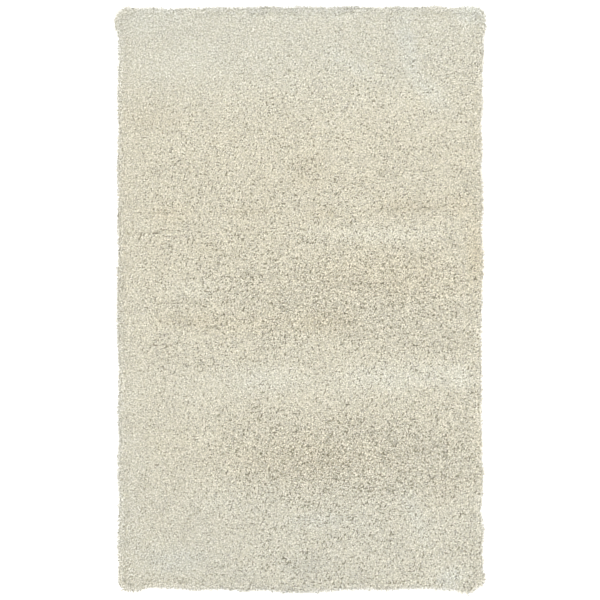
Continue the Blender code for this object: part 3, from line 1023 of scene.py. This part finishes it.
def makePacking(s, group):
    material, tree, shader = newMaterial("packedYarn")
    values = {"Root": s["root"], "Tip": s["root"], **{label: yarn["depths"][label] for label in s["depths"]}}
    colour = addNode(tree, "ShaderNodeGroup", {"node_tree": group}, values).outputs["Colour"]
    spot = addNode(tree, "ShaderNodeTexCoord").outputs["Object"]
    sway = addNode(tree, "ShaderNodeTexNoise", {}, {"Vector": spot, "Scale": s["swayScale"]})
    bent = addVectorMath(tree, "ADD", spot, scaled(tree, sway.outputs["Color"], s["sway"]))
    values = {"Vector": bent, "Scale": s["endScale"]}
    ends, toGap = [
        addNode(tree, "ShaderNodeTexVoronoi", {"feature": feature}, values).outputs["Distance"]
        for feature in ("F1", "DISTANCE_TO_EDGE")
    ]
    # painted shade: lighter in each end's middle, darker towards its edge and between the ends
    ends = addMath(tree, "SUBTRACT", 1.0, ends)
    gap = mapRange(tree, toGap, s["gapWidth"], 0.0)
    mottle, fibre = [addNoise(tree, spot, s[scale]) for scale in ("mottleScale", "fibreScale")]
    least = s["bareShade"] - s["endShade"] * s["endMiddle"] - s["mottleShade"] / 2
    shade = addMath(tree, "MULTIPLY_ADD", ends, s["endShade"], least)
    shade = addMath(tree, "MULTIPLY_ADD", mottle, s["mottleShade"], shade)
    shade = addMath(tree, "MULTIPLY", shade, addMath(tree, "MULTIPLY_ADD", gap, -s["gapShade"], 1.0))
    height = addMath(tree, "MULTIPLY_ADD", fibre, s["fibreHeight"], ends)
    slope = partOf(tree, addNode(tree, "ShaderNodeNewGeometry").outputs["Normal"], 2)
    calm = addNode(tree, "ShaderNodeAttribute", {"attribute_name": "calm"}).outputs["Fac"]
    # the bed is painted in the hollows' shade
    colour = mixColours(tree, addHollows(tree, spot, slope, calm, hollows), colour, s["hollow"])
    finishMaterial(tree, shader, scaled(tree, colour, shade), height, s)
    return material


napGroup = makeNapGroup(napColour)
yarnMaterial = makeYarn(yarn, napGroup)
pileBed.data.materials.append(makePacking(packing, napGroup))
tuftTree = makeTuftTree(pile)
halfLength = plan["length"] / 2
borders = np.linspace(-halfLength, halfLength, pile["bands"] + 1)
borders[0], borders[-1] = -plan["length"], plan["length"]
bands = []
for k in range(pile["bands"]):
    near, far = float(borders[k]), float(borders[k + 1])
    bands.append(growBand(tuftTree, f"pileBand{k + 1}", near, far, yarnMaterial, pile))
    print(bands[-1].name, "grown:", len(bands[-1].data.polygons), "triangles")
bpy.data.objects.remove(creaseLines)


# The backing: a thin woven cloth under the pile.
backing = {
    "thickness": 0.0018,
    "inset": 0.019,
    "stations": 380,
    "pitch": 0.10,
    "seed": 1,
    "threadPitch": 0.0032,
    "thread": (0.66, 0.60, 0.47, 1.0),
    # painted shade between the threads
    "gap": (0.20, 0.17, 0.12, 1.0),
    "slubScale": 180.0,
    "slubDetail": 3.0,
    "slubShade": 0.4,
    "bumpDepth": 0.0008,
    "bumpStrength": 1.0,
    "roughness": 0.9,
    "specular": 0.2,
}


def makeBacking(s):
    flat = ringOf(plan, rim, s["stations"], s["inset"])
    inner = latticeInside(flat, s["pitch"], s["seed"], 0.0)
    triangles = fillRing(flat, inner)
    rings, sides = [], []
    for z in (0.0, s["thickness"]):
        rings.append(np.column_stack([flat, np.full(len(flat), z)]))
        sides.append((np.column_stack([inner, np.full(len(inner), z)]), triangles))
    return solidOfRings("backingCloth", rings, *sides)


def makeWeave(s):
    # a plain weave on object coordinates: at each crossing one thread passes over the other, by turns
    material, tree, shader = newMaterial("wovenBacking")
    spot = addNode(tree, "ShaderNodeTexCoord").outputs["Object"]
    threads = scaled(tree, spot, 1 / s["threadPitch"])
    warp, weft, _ = addNode(tree, "ShaderNodeSeparateXYZ", {}, {0: threads}).outputs
    ridges = []
    for thread in (warp, weft):
        turn = addMath(tree, "MULTIPLY", addMath(tree, "FRACT", thread), math.pi)
        ridges.append(addMath(tree, "SINE", turn))
    crossing = addMath(tree, "ADD", addMath(tree, "FLOOR", warp), addMath(tree, "FLOOR", weft))
    over = addMath(tree, "PINGPONG", crossing, 1.0)
    swells = []
    for ridge, other in (ridges, ridges[::-1]):
        swells.append(addMath(tree, "MULTIPLY", ridge, addMath(tree, "MULTIPLY_ADD", other, 0.5, 0.5)))
    values = {0: over, 2: swells[0], 3: swells[1]}
    height = addNode(tree, "ShaderNodeMix", {"data_type": "FLOAT"}, values).outputs[0]
    slub = addNoise(tree, spot, s["slubScale"], s["slubDetail"])
    shade = addMath(tree, "MULTIPLY_ADD", slub, s["slubShade"], 1.0 - s["slubShade"] / 2)
    # painted shade: darker where the threads dip between the crossings
    colour = mixColours(tree, height, s["gap"], s["thread"])
    finishMaterial(tree, shader, scaled(tree, colour, shade), height, s)
    return material


backingCloth = makeBacking(backing)
backingCloth.data.materials.append(makeWeave(backing))
print("backing made")

for piece in [backingCloth, pileBed, *bands]:
    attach(piece, "root")
    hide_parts(rugNode)
